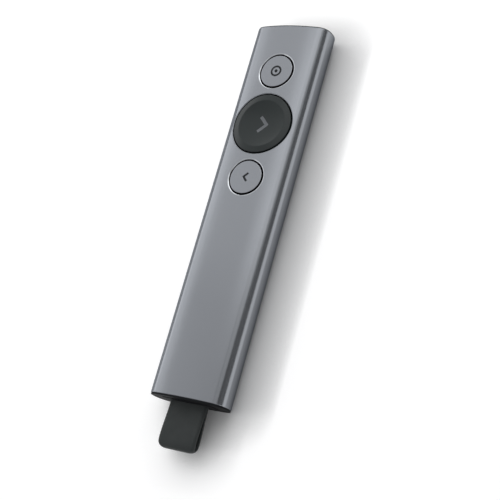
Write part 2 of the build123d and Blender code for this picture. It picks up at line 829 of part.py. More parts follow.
# ---------------------------------------------------------------- pull strap
# Rubber band folded over into a loop. Its layers touch at the root and part further out.
strap_end = tail_y - strap_reach
with BuildPart() as pull_strap:
    with BuildSketch(Plane.YZ.offset(-strap_width / 2)):
        with BuildLine():
            half = strap_thickness / 2
            root = tail_y + strap_anchor
            widest = strap_end + half
            fold = Line((root, mid_z + strap_layer), (tail_y, mid_z + strap_layer))
            upper = Spline(
                fold @ 1,
                (widest, mid_z + half),
                tangents=((-1, 0), (-1, 0)),
            )
            turn = ThreePointArc(upper @ 1, (strap_end, mid_z), (widest, mid_z - half))
            lower = Spline(
                turn @ 1,
                (tail_y, mid_z - strap_layer),
                tangents=((1, 0), (1, 0)),
            )
            Polyline(lower @ 1, (root, mid_z - strap_layer), fold @ 0)
        make_face()
        with BuildLine():
            gap_half = half - strap_layer
            gap_end = strap_end + strap_layer
            gap_root = tail_y - strap_pinch
            gap_upper = Spline(
                (gap_root, mid_z),
                (widest, mid_z + gap_half),
                tangents=((-1, 0), (-1, 0)),
            )
            gap_turn = ThreePointArc(gap_upper @ 1, (gap_end, mid_z), (widest, mid_z - gap_half))
            Spline(gap_turn @ 1, gap_upper @ 0, tangents=((1, 0), (1, 0)))
        make_face(mode=Mode.SUBTRACT)
    extrude(amount=strap_width)
    fillet(edges().filter_by(Axis.Z).group_by(Axis.Y)[0], radius=strap_corner)
save(pull_strap.part, "pull_strap")
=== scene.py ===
import math

import bpy
from mathutils import Matrix, Vector


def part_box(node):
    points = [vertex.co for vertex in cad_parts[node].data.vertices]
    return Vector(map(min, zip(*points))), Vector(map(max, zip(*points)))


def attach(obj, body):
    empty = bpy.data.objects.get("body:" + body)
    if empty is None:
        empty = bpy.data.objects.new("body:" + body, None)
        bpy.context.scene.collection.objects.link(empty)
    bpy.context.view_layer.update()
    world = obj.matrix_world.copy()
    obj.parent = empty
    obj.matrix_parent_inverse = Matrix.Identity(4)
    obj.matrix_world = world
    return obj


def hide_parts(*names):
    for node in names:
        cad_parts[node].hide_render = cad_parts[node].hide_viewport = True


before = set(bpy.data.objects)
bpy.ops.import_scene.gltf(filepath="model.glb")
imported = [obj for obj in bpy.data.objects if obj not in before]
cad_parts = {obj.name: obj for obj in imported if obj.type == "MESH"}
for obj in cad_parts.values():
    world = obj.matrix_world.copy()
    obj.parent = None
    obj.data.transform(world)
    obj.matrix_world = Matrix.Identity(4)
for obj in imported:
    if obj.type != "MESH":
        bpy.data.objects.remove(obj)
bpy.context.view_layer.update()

# ---------------------------------------------------------------- tray and sleeve
# Tray and receiver sleeve are moulded in glass-filled nylon, black and plainly matt. Both slide
# into the tube from its ends, and the button guide is screwed down on the tray.


def ink(code):
    """Linear colour of an sRGB hex value."""
    parts = [int(code[i : i + 2], 16) / 255 for i in (1, 3, 5)]
    linear = [c / 12.92 if c <= 0.04045 else ((c + 0.055) / 1.055) ** 2.4 for c in parts]
    return (*linear, 1.0)


def add_node(tree, kind, settings, inputs):
    """Adds a node. An input is given as a value, or as the socket that feeds it."""
    node = tree.nodes.new(kind)
    for name, value in settings.items():
        setattr(node, name, value)
    for name, value in inputs.items():
        if isinstance(value, bpy.types.NodeSocket):
            tree.links.new(value, node.inputs[name])
        else:
            node.inputs[name].default_value = value
    return node


def open_material(name):
    """Starts a material. Its pattern reads Object coordinates, so it stays on the piece."""
    material = bpy.data.materials.new(name)
    material.use_nodes = True
    tree = material.node_tree
    tree.nodes.clear()
    place = add_node(tree, "ShaderNodeTexCoord", {}, {}).outputs["Object"]
    return material, tree, place


def close_material(tree, shader_inputs):
    """Ends a material with its shader."""
    shader = add_node(tree, "ShaderNodeBsdfPrincipled", {}, shader_inputs)
    add_node(tree, "ShaderNodeOutputMaterial", {}, {"Surface": shader.outputs[0]})


def dress(material, *names):
    """Puts a material on all of a CAD node."""
    for name in names:
        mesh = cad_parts[name].data
        mesh.materials.clear()
        mesh.materials.append(material)


# Glass-filled nylon: the fibres near the skin give a cloudy, slightly mottled matt black.
nylon, tree, place = open_material("glass_filled_nylon")
clouds = add_node(
    tree, "ShaderNodeTexNoise", {}, {"Vector": place, "Scale": 260.0, "Detail": 4.0}
)
fibres = add_node(
    tree, "ShaderNodeTexNoise", {}, {"Vector": place, "Scale": 2500.0, "Detail": 2.0}
)
nylon_tone = add_node(
    tree,
    "ShaderNodeMix",
    {"data_type": "RGBA"},
    {"Factor": clouds.outputs["Fac"], 6: ink("#17181a"), 7: ink("#232528")},
)
nylon_gloss = add_node(
    tree,
    "ShaderNodeMapRange",
    {},
    {
        "Value": clouds.outputs["Fac"],
        "From Min": 0.3,
        "From Max": 0.7,
        "To Min": 0.5,
        "To Max": 0.64,
    },
)
nylon_relief = add_node(
    tree,
    "ShaderNodeBump",
    {},
    {"Strength": 0.25, "Distance": 0.00004, "Height": fibres.outputs["Fac"]},
)
close_material(
    tree,
    {
        "Base Color": nylon_tone.outputs[2],
        "Roughness": nylon_gloss.outputs[0],
        "Normal": nylon_relief.outputs[0],
        "Specular IOR Level": 0.45,
    },
)
dress(nylon, "chassis", "receiver_bay", "button_guide")


# ---------------------------------------------------------------- circuit boards
# Long main board between the tray's rails and the small one inside the receiver. Glass-fibre
# laminate with copper tracks under green solder mask; gold shows where the mask is left open.

# Solder mask: glossy green, lighter over the tracks, with gold pads and a straw-coloured cut edge.
solder_mask, tree, place = open_material("green_solder_mask")
tracks = add_node(
    tree,
    "ShaderNodeTexBrick",
    {"offset": 0.35, "squash": 1.0},
    {
        "Vector": place,
        "Color1": (0.0, 0.0, 0.0, 1.0),
        "Color2": (0.25, 0.25, 0.25, 1.0),
        "Mortar": (1.0, 1.0, 1.0, 1.0),
        "Scale": 1.0,
        "Mortar Size": 0.00009,
        "Mortar Smooth": 0.2,
        "Brick Width": 0.0037,
        "Row Height": 0.00062,
    },
)
mask_tone = add_node(
    tree,
    "ShaderNodeMix",
    {"data_type": "RGBA"},
    {"Factor": tracks.outputs["Color"], 6: ink("#0d4a2b"), 7: ink("#1d6b3f")},
)
pads = add_node(
    tree,
    "ShaderNodeTexVoronoi",
    {"feature": "F1"},
    {"Vector": place, "Scale": 430.0, "Randomness": 0.85},
)
pad_mask = add_node(
    tree,
    "ShaderNodeMath",
    {"operation": "LESS_THAN"},
    {0: pads.outputs["Distance"], 1: 0.14},
)
padded_tone = add_node(
    tree,
    "ShaderNodeMix",
    {"data_type": "RGBA"},
    {"Factor": pad_mask.outputs[0], 6: mask_tone.outputs[2], 7: ink("#c9a04c")},
)
facing = add_node(
    tree,
    "ShaderNodeSeparateXYZ",
    {},
    {0: add_node(tree, "ShaderNodeNewGeometry", {}, {}).outputs["Normal"]},
)
flat_side = add_node(
    tree,
    "ShaderNodeMath",
    {"operation": "ABSOLUTE"},
    {0: facing.outputs["Z"]},
)
cut_edge = add_node(
    tree,
    "ShaderNodeMath",
    {"operation": "LESS_THAN"},
    {0: flat_side.outputs[0], 1: 0.5},
)
board_tone = add_node(
    tree,
    "ShaderNodeMix",
    {"data_type": "RGBA"},
    {"Factor": cut_edge.outputs[0], 6: padded_tone.outputs[2], 7: ink("#8a8455")},
)
board_gloss = add_node(
    tree,
    "ShaderNodeMapRange",
    {},
    {"Value": tracks.outputs["Fac"], "To Min": 0.28, "To Max": 0.36},
)
board_relief = add_node(
    tree,
    "ShaderNodeBump",
    {},
    {"Strength": 0.4, "Distance": 0.00003, "Height": tracks.outputs["Fac"]},
)
close_material(
    tree,
    {
        "Base Color": board_tone.outputs[2],
        "Metallic": pad_mask.outputs[0],
        "Roughness": board_gloss.outputs[0],
        "Normal": board_relief.outputs[0],
    },
)
dress(solder_mask, "main_board", "receiver_board")


# ---------------------------------------------------------------- board parts
# Chips, motion sensor and antenna are soldered to the board. The radio lies under a drawn cover.

# Moulded epoxy resin: near-black and matt, with the faint grain of its silica filler.
resin, tree, place = open_material("moulded_epoxy_resin")
filler = add_node(
    tree, "ShaderNodeTexNoise", {}, {"Vector": place, "Scale": 4000.0, "Detail": 3.0}
)
resin_tone = add_node(
    tree,
    "ShaderNodeMix",
    {"data_type": "RGBA"},
    {"Factor": filler.outputs["Fac"], 6: ink("#131415"), 7: ink("#26272a")},
)
resin_relief = add_node(
    tree,
    "ShaderNodeBump",
    {},
    {"Strength": 0.3, "Distance": 0.00002, "Height": filler.outputs["Fac"]},
)
close_material(
    tree,
    {"Base Color": resin_tone.outputs[2], "Roughness": 0.62, "Normal": resin_relief.outputs[0]},
)
dress(resin, "control_chip", "charge_chip", "motion_sensor", "receiver_chip")

# Fired ceramic: warm white, slightly speckled, with a soft glaze-like gloss.
ceramic, tree, place = open_material("fired_antenna_ceramic")
specks = add_node(
    tree, "ShaderNodeTexNoise", {}, {"Vector": place, "Scale": 3000.0, "Detail": 2.0}
)
ceramic_tone = add_node(
    tree,
    "ShaderNodeMix",
    {"data_type": "RGBA"},
    {"Factor": specks.outputs["Fac"], 6: ink("#cfc9bb"), 7: ink("#e9e5da")},
)
ceramic_gloss = add_node(
    tree,
    "ShaderNodeMapRange",
    {},
    {"Value": specks.outputs["Fac"], "To Min": 0.3, "To Max": 0.45},
)
close_material(
    tree,
    {"Base Color": ceramic_tone.outputs[2], "Roughness": ceramic_gloss.outputs[0]},
)
dress(ceramic, "antenna")

# Nickel-plated sheet steel: bright warm grey, drawn along the length, with fine rolling lines.
nickel, tree, place = open_material("nickel_plated_steel")
rolled = add_node(
    tree, "ShaderNodeMapping", {}, {"Vector": place, "Scale": (4500.0, 220.0, 4500.0)}
)
lines = add_node(
    tree,
    "ShaderNodeTexNoise",
    {},
    {"Vector": rolled.outputs[0], "Scale": 1.0, "Detail": 3.0},
)
smears = add_node(
    tree, "ShaderNodeTexNoise", {}, {"Vector": place, "Scale": 300.0, "Detail": 2.0}
)
nickel_tone = add_node(
    tree,
    "ShaderNodeMix",
    {"data_type": "RGBA"},
    {"Factor": lines.outputs["Fac"], 6: ink("#b9b9b5"), 7: ink("#d9d8d2")},
)
nickel_gloss = add_node(
    tree,
    "ShaderNodeMapRange",
    {},
    {
        "Value": smears.outputs["Fac"],
        "From Min": 0.3,
        "From Max": 0.7,
        "To Min": 0.18,
        "To Max": 0.32,
    },
)
nickel_relief = add_node(
    tree,
    "ShaderNodeBump",
    {},
    {"Strength": 0.12, "Distance": 0.00001, "Height": lines.outputs["Fac"]},
)
close_material(
    tree,
    {
        "Base Color": nickel_tone.outputs[2],
        "Metallic": 1.0,
        "Roughness": nickel_gloss.outputs[0],
        "Normal": nickel_relief.outputs[0],
    },
)
dress(nickel, "radio_shield", "charging_socket", "plug_shell", "vibration_motor")


# ---------------------------------------------------------------- switches
# Three sealed snap switches under the buttons: a stainless cover over a moulded base, and a
# plunger of white acetal that the button's stem presses.

# Stainless cover: satin stamped steel, a little darker and duller than the nickel.
stainless, tree, place = open_material("stamped_stainless_steel")
stamped = add_node(
    tree, "ShaderNodeTexNoise", {}, {"Vector": place, "Scale": 1800.0, "Detail": 3.0}
)
stainless_tone = add_node(
    tree,
    "ShaderNodeMix",
    {"data_type": "RGBA"},
    {"Factor": stamped.outputs["Fac"], 6: ink("#9c9b97"), 7: ink("#bdbcb7")},
)
stainless_gloss = add_node(
    tree,
    "ShaderNodeMapRange",
    {},
    {"Value": stamped.outputs["Fac"], "To Min": 0.28, "To Max": 0.42},
)
close_material(
    tree,
    {
        "Base Color": stainless_tone.outputs[2],
        "Metallic": 1.0,
        "Roughness": stainless_gloss.outputs[0],
    },
)
dress(stainless, "pointer_switch", "next_switch", "back_switch")

# Acetal: milky off-white, slightly waxy, a little light passes into its skin.
acetal, tree, place = open_material("moulded_acetal")
flow = add_node(
    tree, "ShaderNodeTexNoise", {}, {"Vector": place, "Scale": 900.0, "Detail": 2.0}
)
acetal_tone = add_node(
    tree,
    "ShaderNodeMix",
    {"data_type": "RGBA"},
    {"Factor": flow.outputs["Fac"], 6: ink("#ddd8c9"), 7: ink("#ece9df")},
)
acetal_gloss = add_node(
    tree,
    "ShaderNodeMapRange",
    {},
    {"Value": flow.outputs["Fac"], "To Min": 0.32, "To Max": 0.44},
)
close_material(
    tree,
    {
        "Base Color": acetal_tone.outputs[2],
        "Roughness": acetal_gloss.outputs[0],
        "Subsurface Weight": 0.15,
        "Subsurface Scale": 0.0005,
    },
)
dress(acetal, "pointer_plunger", "next_plunger", "back_plunger", "battery_plug")

# Light grey nylon of the two connector tongues, fine-grained.
tongue_nylon, tree, place = open_material("grey_connector_nylon")
tongue_grain = add_node(
    tree, "ShaderNodeTexNoise", {}, {"Vector": place, "Scale": 2600.0, "Detail": 3.0}
)
tongue_tone = add_node(
    tree,
    "ShaderNodeMix",
    {"data_type": "RGBA"},
    {"Factor": tongue_grain.outputs["Fac"], 6: ink("#b9bab7"), 7: ink("#d3d4d0")},
)
tongue_relief = add_node(
    tree,
    "ShaderNodeBump",
    {},
    {"Strength": 0.2, "Distance": 0.00002, "Height": tongue_grain.outputs["Fac"]},
)
close_material(
    tree,
    {
        "Base Color": tongue_tone.outputs[2],
        "Roughness": 0.42,
        "Normal": tongue_relief.outputs[0],
    },
)
dress(tongue_nylon, "plug_blade", "socket_tongue")


# ---------------------------------------------------------------- screws
# Small zinc-plated steel screws that clamp guide, board and tray.

# Zinc plate: blue-grey, brightest on the turned faces, with passivation clouds.
zinc, tree, place = open_material("zinc_plated_steel")
passivated = add_node(
    tree, "ShaderNodeTexNoise", {}, {"Vector": place, "Scale": 1400.0, "Detail": 3.0}
)
zinc_tone = add_node(
    tree,
    "ShaderNodeMix",
    {"data_type": "RGBA"},
    {"Factor": passivated.outputs["Fac"], 6: ink("#8d9298"), 7: ink("#b4b8ba")},
)
zinc_gloss = add_node(
    tree,
    "ShaderNodeMapRange",
    {},
    {"Value": passivated.outputs["Fac"], "To Min": 0.25, "To Max": 0.42},
)
close_material(
    tree,
    {"Base Color": zinc_tone.outputs[2], "Metallic": 1.0, "Roughness": zinc_gloss.outputs[0]},
)
dress(zinc, "guide_screws", "board_screws")


# ---------------------------------------------------------------- battery
# Lithium-polymer pouch on a foam pad in the tray's pocket. Polyimide tape covers its sealed end,
# and one red and one black lead run up to the board.

# Laminated foil: silvery, softly wrinkled, with amber tape over the last millimetres of its tail.
foil, tree, place = open_material("laminated_foil_pouch")
wrinkles = add_node(
    tree,
    "ShaderNodeTexNoise",
    {},
    {"Vector": place, "Scale": 380.0, "Detail": 3.0, "Distortion": 0.6},
)
foil_relief = add_node(
    tree,
    "ShaderNodeBump",
    {},
    {"Strength": 0.35, "Distance": 0.0001, "Height": wrinkles.outputs["Fac"]},
)
along = add_node(tree, "ShaderNodeSeparateXYZ", {}, {0: place})
tape_width = 0.0034
cell_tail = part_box("battery_cell")[0][1]
taped = add_node(
    tree,
    "ShaderNodeMath",
    {"operation": "LESS_THAN"},
    {0: along.outputs["Y"], 1: cell_tail + tape_width},
)
foil_tone = add_node(
    tree,
    "ShaderNodeMix",
    {"data_type": "RGBA"},
    {"Factor": taped.outputs[0], 6: ink("#c2c3c4"), 7: ink("#b87a25")},
)
untaped = add_node(
    tree,
    "ShaderNodeMath",
    {"operation": "SUBTRACT"},
    {0: 1.0, 1: taped.outputs[0]},
)
foil_gloss = add_node(
    tree,
    "ShaderNodeMapRange",
    {},
    {"Value": wrinkles.outputs["Fac"], "To Min": 0.24, "To Max": 0.4},
)
close_material(
    tree,
    {
        "Base Color": foil_tone.outputs[2],
        "Metallic": untaped.outputs[0],
        "Roughness": foil_gloss.outputs[0],
        "Normal": foil_relief.outputs[0],
    },
)
dress(foil, "battery_cell")

# Closed-cell foam: dark grey, full of pores, dull.
foam, tree, place = open_material("closed_cell_foam")
pores = add_node(tree, "ShaderNodeTexVoronoi", {}, {"Vector": place, "Scale": 3300.0})
foam_tone = add_node(
    tree,
    "ShaderNodeMix",
    {"data_type": "RGBA"},
    {"Factor": pores.outputs["Distance"], 6: ink("#1e1f22"), 7: ink("#3d3f43")},
)
foam_relief = add_node(
    tree,
    "ShaderNodeBump",
    {},
    {"Strength": 0.6, "Distance": 0.00005, "Height": pores.outputs["Distance"]},
)
close_material(
    tree,
    {"Base Color": foam_tone.outputs[2], "Roughness": 0.9, "Normal": foam_relief.outputs[0]},
)
dress(foam, "battery_pad")

# Silicone insulation: one lead red, one black, both with a soft satin gloss.
insulation, tree, place = open_material("silicone_lead_insulation")
side = add_node(tree, "ShaderNodeSeparateXYZ", {}, {0: place})
positive = add_node(
    tree,
    "ShaderNodeMath",
    {"operation": "GREATER_THAN"},
    {0: side.outputs["X"], 1: 0.0},
)
lead_tone = add_node(
    tree,
    "ShaderNodeMix",
    {"data_type": "RGBA"},
    {"Factor": positive.outputs[0], 6: ink("#1b1b1d"), 7: ink("#b01d1d")},
)
dust = add_node(
    tree, "ShaderNodeTexNoise", {}, {"Vector": place, "Scale": 1200.0, "Detail": 2.0}
)
lead_gloss = add_node(
    tree,
    "ShaderNodeMapRange",
    {},
    {"Value": dust.outputs["Fac"], "To Min": 0.35, "To Max": 0.55},
)
close_material(
    tree,
    {"Base Color": lead_tone.outputs[2], "Roughness": lead_gloss.outputs[0]},
)
dress(insulation, "battery_leads")


# ---------------------------------------------------------------- vibration motor
# Coin motor in a rubber cup; its nickel-plated can takes the finish of the radio cover.

# Moulded nitrile rubber: matt charcoal with a dusty bloom.
nitrile, tree, place = open_material("moulded_nitrile_rubber")
bloom = add_node(
    tree, "ShaderNodeTexNoise", {}, {"Vector": place, "Scale": 700.0, "Detail": 4.0}
)
nitrile_tone = add_node(
    tree,
    "ShaderNodeMix",
    {"data_type": "RGBA"},
    {"Factor": bloom.outputs["Fac"], 6: ink("#161718"), 7: ink("#2c2d2f")},
)
nitrile_relief = add_node(
    tree,
    "ShaderNodeBump",
    {},
    {"Strength": 0.2, "Distance": 0.00003, "Height": bloom.outputs["Fac"]},
)
close_material(
    tree,
    {
        "Base Color": nitrile_tone.outputs[2],
        "Roughness": 0.75,
        "Normal": nitrile_relief.outputs[0],
    },
)
dress(nitrile, "motor_cradle")


# ---------------------------------------------------------------- tube and small buttons
# Extruded aluminium tube and two turned aluminium caps, all bead blasted and anodised dark
# silver in one batch. The small wells' edges are cut bright after anodising, the large one's is
# left blasted. Walls and skirts inside the gaps are painted near-black as shade, so the gaps read
# as dark lines.

# Anodised aluminium: cool mid grey with a satin sheen, darker at a glancing angle, where light
# takes a longer way through the dyed oxide; fine blasting grit, drawn coarser than the real
# 0.05 mm so that it shows, and faint cloudiness from handling.
aluminium, tree, place = open_material("blasted_anodised_aluminium")
grit = add_node(
    tree, "ShaderNodeTexNoise", {}, {"Vector": place, "Scale": 4200.0, "Detail": 3.0}
)
handling = add_node(
    tree, "ShaderNodeTexNoise", {}, {"Vector": place, "Scale": 70.0, "Detail": 3.0}
)
plain_tone = add_node(
    tree,
    "ShaderNodeMix",
    {"data_type": "RGBA"},
    {"Factor": grit.outputs["Fac"], 6: ink("#909398"), 7: ink("#9a9da2")},
)
pointer_y = 0.05584
next_y = 0.03647
back_y = 0.0171
small_cap_radius = 0.00575
small_well_radius = 0.0064
large_cap_radius = 0.01045
large_well_radius = 0.0109
well_edge = 0.0003
edge_spare = 0.00001
gap_spare = 0.000005
wells_bottom = 0.0075
edges = []
gaps = []
# Masks of each well's machined edge and of the gap round its cap, by distance from its middle.
for well_y, cap_radius, well_radius in (
    (pointer_y, small_cap_radius, small_well_radius),
    (next_y, large_cap_radius, large_well_radius),
    (back_y, small_cap_radius, small_well_radius),
):
    from_centre = add_node(
        tree,
        "ShaderNodeVectorMath",
        {"operation": "SUBTRACT"},
        {0: place, 1: (0.0, well_y, 0.0)},
    )
    in_plan = add_node(
        tree,
        "ShaderNodeVectorMath",
        {"operation": "MULTIPLY"},
        {0: from_centre.outputs[0], 1: (1.0, 1.0, 0.0)},
    )
    reach = add_node(
        tree,
        "ShaderNodeVectorMath",
        {"operation": "LENGTH"},
        {0: in_plan.outputs[0]},
    )
    on_edge = add_node(
        tree,
        "ShaderNodeMath",
        {"operation": "COMPARE"},
        {
            0: reach.outputs["Value"],
            1: well_radius + well_edge / 2 + edge_spare,
            2: well_edge / 2,
        },
    )
    in_gap = add_node(
        tree,
        "ShaderNodeMath",
        {"operation": "COMPARE"},
        {
            0: reach.outputs["Value"],
            1: (cap_radius + well_radius) / 2,
            2: (well_radius - cap_radius) / 2 + gap_spare,
        },
    )
    edges.append(on_edge.outputs[0])
    gaps.append(in_gap.outputs[0])
pointer_edge, blasted_edge, back_edge = edges
cut_bright = add_node(
    tree,
    "ShaderNodeMath",
    {"operation": "MAXIMUM"},
    {0: pointer_edge, 1: back_edge},
)
painted_gap_shade = gaps[0]
for gap in gaps[1:]:
    painted_gap_shade = add_node(
        tree,
        "ShaderNodeMath",
        {"operation": "MAXIMUM"},
        {0: painted_gap_shade, 1: gap},
    ).outputs[0]
height = add_node(tree, "ShaderNodeSeparateXYZ", {}, {0: place})
above = add_node(
    tree,
    "ShaderNodeMath",
    {"operation": "GREATER_THAN"},
    {0: height.outputs["Z"], 1: wells_bottom},
)
well_edges = add_node(
    tree,
    "ShaderNodeMath",
    {"operation": "MULTIPLY"},
    {0: cut_bright.outputs[0], 1: above.outputs[0]},
)
# Painted shade: above the wells' bottom, the gaps' walls and the caps' skirts are coloured
# near-black (#0f1012).
painted_wall_shade = add_node(
    tree,
    "ShaderNodeMath",
    {"operation": "MULTIPLY"},
    {0: painted_gap_shade, 1: above.outputs[0]},
)
edged_tone = add_node(
    tree,
    "ShaderNodeMix",
    {"data_type": "RGBA"},
    {"Factor": well_edges.outputs[0], 6: plain_tone.outputs[2], 7: ink("#b9bcc0")},
)
aluminium_tone = add_node(
    tree,
    "ShaderNodeMix",
    {"data_type": "RGBA"},
    {"Factor": painted_wall_shade.outputs[0], 6: edged_tone.outputs[2], 7: ink("#0f1012")},
)
satin = add_node(
    tree,
    "ShaderNodeMapRange",
    {},
    {
        "Value": handling.outputs["Fac"],
        "From Min": 0.3,
        "From Max": 0.7,
        "To Min": 0.19,
        "To Max": 0.23,
    },
)
blasted_gloss = add_node(
    tree,
    "ShaderNodeMix",
    {"data_type": "FLOAT"},
    {"Factor": blasted_edge, 2: satin.outputs[0], 3: 0.55},
)
edged_gloss = add_node(
    tree,
    "ShaderNodeMix",
    {"data_type": "FLOAT"},
    {"Factor": well_edges.outputs[0], 2: blasted_gloss.outputs[0], 3: 0.13},
)
aluminium_gloss = add_node(
    tree,
    "ShaderNodeMix",
    {"data_type": "FLOAT"},
    {"Factor": painted_wall_shade.outputs[0], 2: edged_gloss.outputs[0], 3: 0.6},
)
eased_edge = 0.00018
rounded = add_node(tree, "ShaderNodeBevel", {"samples": 8}, {"Radius": eased_edge})
aluminium_relief = add_node(
    tree,
    "ShaderNodeBump",
    {},
    {
        "Strength": 0.08,
        "Distance": 0.00001,
        "Height": grit.outputs["Fac"],
        "Normal": rounded.outputs[0],
    },
)
oxide_tint = ink("#929498")
close_material(
    tree,
    {
        "Base Color": aluminium_tone.outputs[2],
        "Metallic": 1.0,
        "Roughness": aluminium_gloss.outputs[0],
        "Normal": aluminium_relief.outputs[0],
        "Specular Tint": oxide_tint,
    },
)
dress(aluminium, "body_shell", "pointer_button", "back_button")

# Dark enamel wiped into the two engravings: matt, and slightly uneven.
enamel, tree, place = open_material("wiped_in_enamel")
uneven = add_node(
    tree, "ShaderNodeTexNoise", {}, {"Vector": place, "Scale": 2500.0, "Detail": 2.0}
)
enamel_tone = add_node(
    tree,
    "ShaderNodeMix",
    {"data_type": "RGBA"},
    {"Factor": uneven.outputs["Fac"], 6: ink("#101316"), 7: ink("#1c2023")},
)
enamel_relief = add_node(
    tree,
    "ShaderNodeBump",
    {},
    {"Strength": 0.3, "Distance": 0.00002, "Height": uneven.outputs["Fac"]},
)
close_material(
    tree,
    {
        "Base Color": enamel_tone.outputs[2],
        "Roughness": 0.6,
        "Normal": enamel_relief.outputs[0],
        "Specular IOR Level": 0.3,
    },
)
dress(enamel, "pointer_mark", "back_mark")


# ---------------------------------------------------------------- well liners
# Turned aluminium ring pressed into each small well from above, flush with the tube. Its rounded
# edge is diamond-cut and catches the light round the cap; its bore is painted near-black as shade.
liner_bore = 0.0063
liner_mouth = 0.00664
liner_seat = 0.006385
liner_depth = 0.00095
liner_lip = 0.000005
liner_facets = 144
crown_top = 0.0121
crown_radius = 0.0556
merge_distance = 0.000001
bpy.ops.object.select_all(action="DESELECT")
bpy.ops.mesh.primitive_circle_add(
    vertices=liner_facets,
    radius=liner_bore,
    fill_type="NOTHING",
    location=(0, 0, crown_top - liner_depth),
)
liner = bpy.context.object
liner.name = "pointer_well_liner"
bpy.ops.object.transform_apply(location=True, rotation=False, scale=False)
bpy.ops.object.mode_set(mode="EDIT")
bpy.ops.mesh.select_all(action="SELECT")
# Corners of its section as radius and depth: up the bore, over the rounded edge in three steps,
# and back down the outside, which clears the well's chamfer.
radius, depth = liner_bore, liner_depth
for corner_radius, corner_depth in (
    (liner_bore, 0.000216),
    (0.00642, 0.000096),
    (0.00654, 0.000027),
    (liner_mouth, 0.0),
    (liner_mouth, liner_lip),
    (liner_seat, liner_mouth - liner_seat + liner_lip),
    (liner_seat, liner_depth),
    (liner_bore, liner_depth),
):
    bpy.ops.mesh.extrude_region_move(
        TRANSFORM_OT_translate={"value": (0, 0, depth - corner_depth)}
    )
    widen = corner_radius / radius
    bpy.ops.transform.resize(
        value=(widen, widen, 1),
        center_override=(0, 0, crown_top - corner_depth),
    )
    radius, depth = corner_radius, corner_depth
bpy.ops.mesh.select_all(action="SELECT")
bpy.ops.mesh.remove_doubles(threshold=merge_distance)
bpy.ops.mesh.normals_make_consistent(inside=False)
bpy.ops.object.mode_set(mode="OBJECT")
# The ring follows the tube's crown, which falls towards its sides.
for vertex in liner.data.vertices:
    vertex.co.z -= crown_radius - math.sqrt(crown_radius**2 - vertex.co.x**2)
bpy.ops.object.shade_smooth_by_angle(angle=math.radians(30))

# Diamond-cut aluminium: near-mirror bright, a little streaky from the tool.
cut_aluminium, tree, place = open_material("diamond_cut_aluminium")
streaks = add_node(
    tree, "ShaderNodeTexNoise", {}, {"Vector": place, "Scale": 1500.0, "Detail": 3.0}
)
cut_tone = add_node(
    tree,
    "ShaderNodeMix",
    {"data_type": "RGBA"},
    {"Factor": streaks.outputs["Fac"], 6: ink("#b4b7bb"), 7: ink("#bec1c5")},
)
cut_gloss = add_node(
    tree,
    "ShaderNodeMapRange",
    {},
    {"Value": streaks.outputs["Fac"], "To Min": 0.1, "To Max": 0.16},
)
close_material(
    tree,
    {
        "Base Color": cut_tone.outputs[2],
        "Metallic": 1.0,
        "Roughness": cut_gloss.outputs[0],
        "Specular Tint": oxide_tint,
    },
)
liner.data.materials.append(cut_aluminium)
liner.data.materials.append(aluminium)
# Its upright walls take the tube's material, which paints them near-black inside a well as shade.
upright = 0.1
for face in liner.data.polygons:
    face.material_index = 1 if abs(face.normal.z) < upright else 0
bpy.ops.object.duplicate()
back_liner = bpy.context.object
back_liner.name = "back_well_liner"
for ring, well_y in ((liner, pointer_y), (back_liner, back_y)):
    ring.data.transform(Matrix.Translation((0, well_y, 0)))
    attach(ring, "handset")


# ---------------------------------------------------------------- end caps and receiver body
# Black ABS mouldings from one spark-eroded tool: a fine even texture, near-black and matt.
spark_abs, tree, place = open_material("spark_textured_abs")
spark = add_node(
    tree, "ShaderNodeTexNoise", {}, {"Vector": place, "Scale": 5200.0, "Detail": 3.0}
)
rubbed = add_node(
    tree, "ShaderNodeTexNoise", {}, {"Vector": place, "Scale": 180.0, "Detail": 3.0}
)
abs_tone = add_node(
    tree,
    "ShaderNodeMix",
    {"data_type": "RGBA"},
    {"Factor": spark.outputs["Fac"], 6: ink("#0f1113"), 7: ink("#16181b")},
)
abs_gloss = add_node(
    tree,
    "ShaderNodeMapRange",
    {},
    {
        "Value": rubbed.outputs["Fac"],
        "From Min": 0.3,
        "From Max": 0.7,
        "To Min": 0.6,
        "To Max": 0.7,
    },
)
softened = add_node(tree, "ShaderNodeBevel", {"samples": 4}, {"Radius": 0.00008})
abs_relief = add_node(
    tree,
    "ShaderNodeBump",
    {},
    {
        "Strength": 0.15,
        "Distance": 0.00002,
        "Height": spark.outputs["Fac"],
        "Normal": softened.outputs[0],
    },
)
close_material(
    tree,
    {
        "Base Color": abs_tone.outputs[2],
        "Roughness": abs_gloss.outputs[0],
        "Normal": abs_relief.outputs[0],
        "Specular IOR Level": 0.15,
    },
)
dress(spark_abs, "nose_cap", "tail_cap", "receiver_body")


# ---------------------------------------------------------------- large button
# Dark grey cap with a thumb dish, moulded in polycarbonate under a soft-touch lacquer. Its
# arrow is a second shot of lighter grey, flush with the dish.

# Soft-touch lacquer: charcoal with a green-grey cast, even, satin, glossier where thumbs rub it.
lacquer, tree, place = open_material("soft_touch_lacquer")
mist = add_node(
    tree, "ShaderNodeTexNoise", {}, {"Vector": place, "Scale": 4600.0, "Detail": 2.0}
)
thumbed = add_node(
    tree, "ShaderNodeTexNoise", {}, {"Vector": place, "Scale": 120.0, "Detail": 2.0}
)
lacquer_tone = add_node(
    tree,
    "ShaderNodeMix",
    {"data_type": "RGBA"},
    {"Factor": mist.outputs["Fac"], 6: ink("#1b2222"), 7: ink("#242b2b")},
)
lacquer_gloss = add_node(
    tree,
    "ShaderNodeMapRange",
    {},
    {
        "Value": thumbed.outputs["Fac"],
        "From Min": 0.3,
        "From Max": 0.7,
        "To Min": 0.22,
        "To Max": 0.27,
    },
)
eased = add_node(tree, "ShaderNodeBevel", {"samples": 8}, {"Radius": 0.0003})
lacquer_relief = add_node(
    tree,
    "ShaderNodeBump",
    {},
    {
        "Strength": 0.1,
        "Distance": 0.00002,
        "Height": mist.outputs["Fac"],
        "Normal": eased.outputs[0],
    },
)
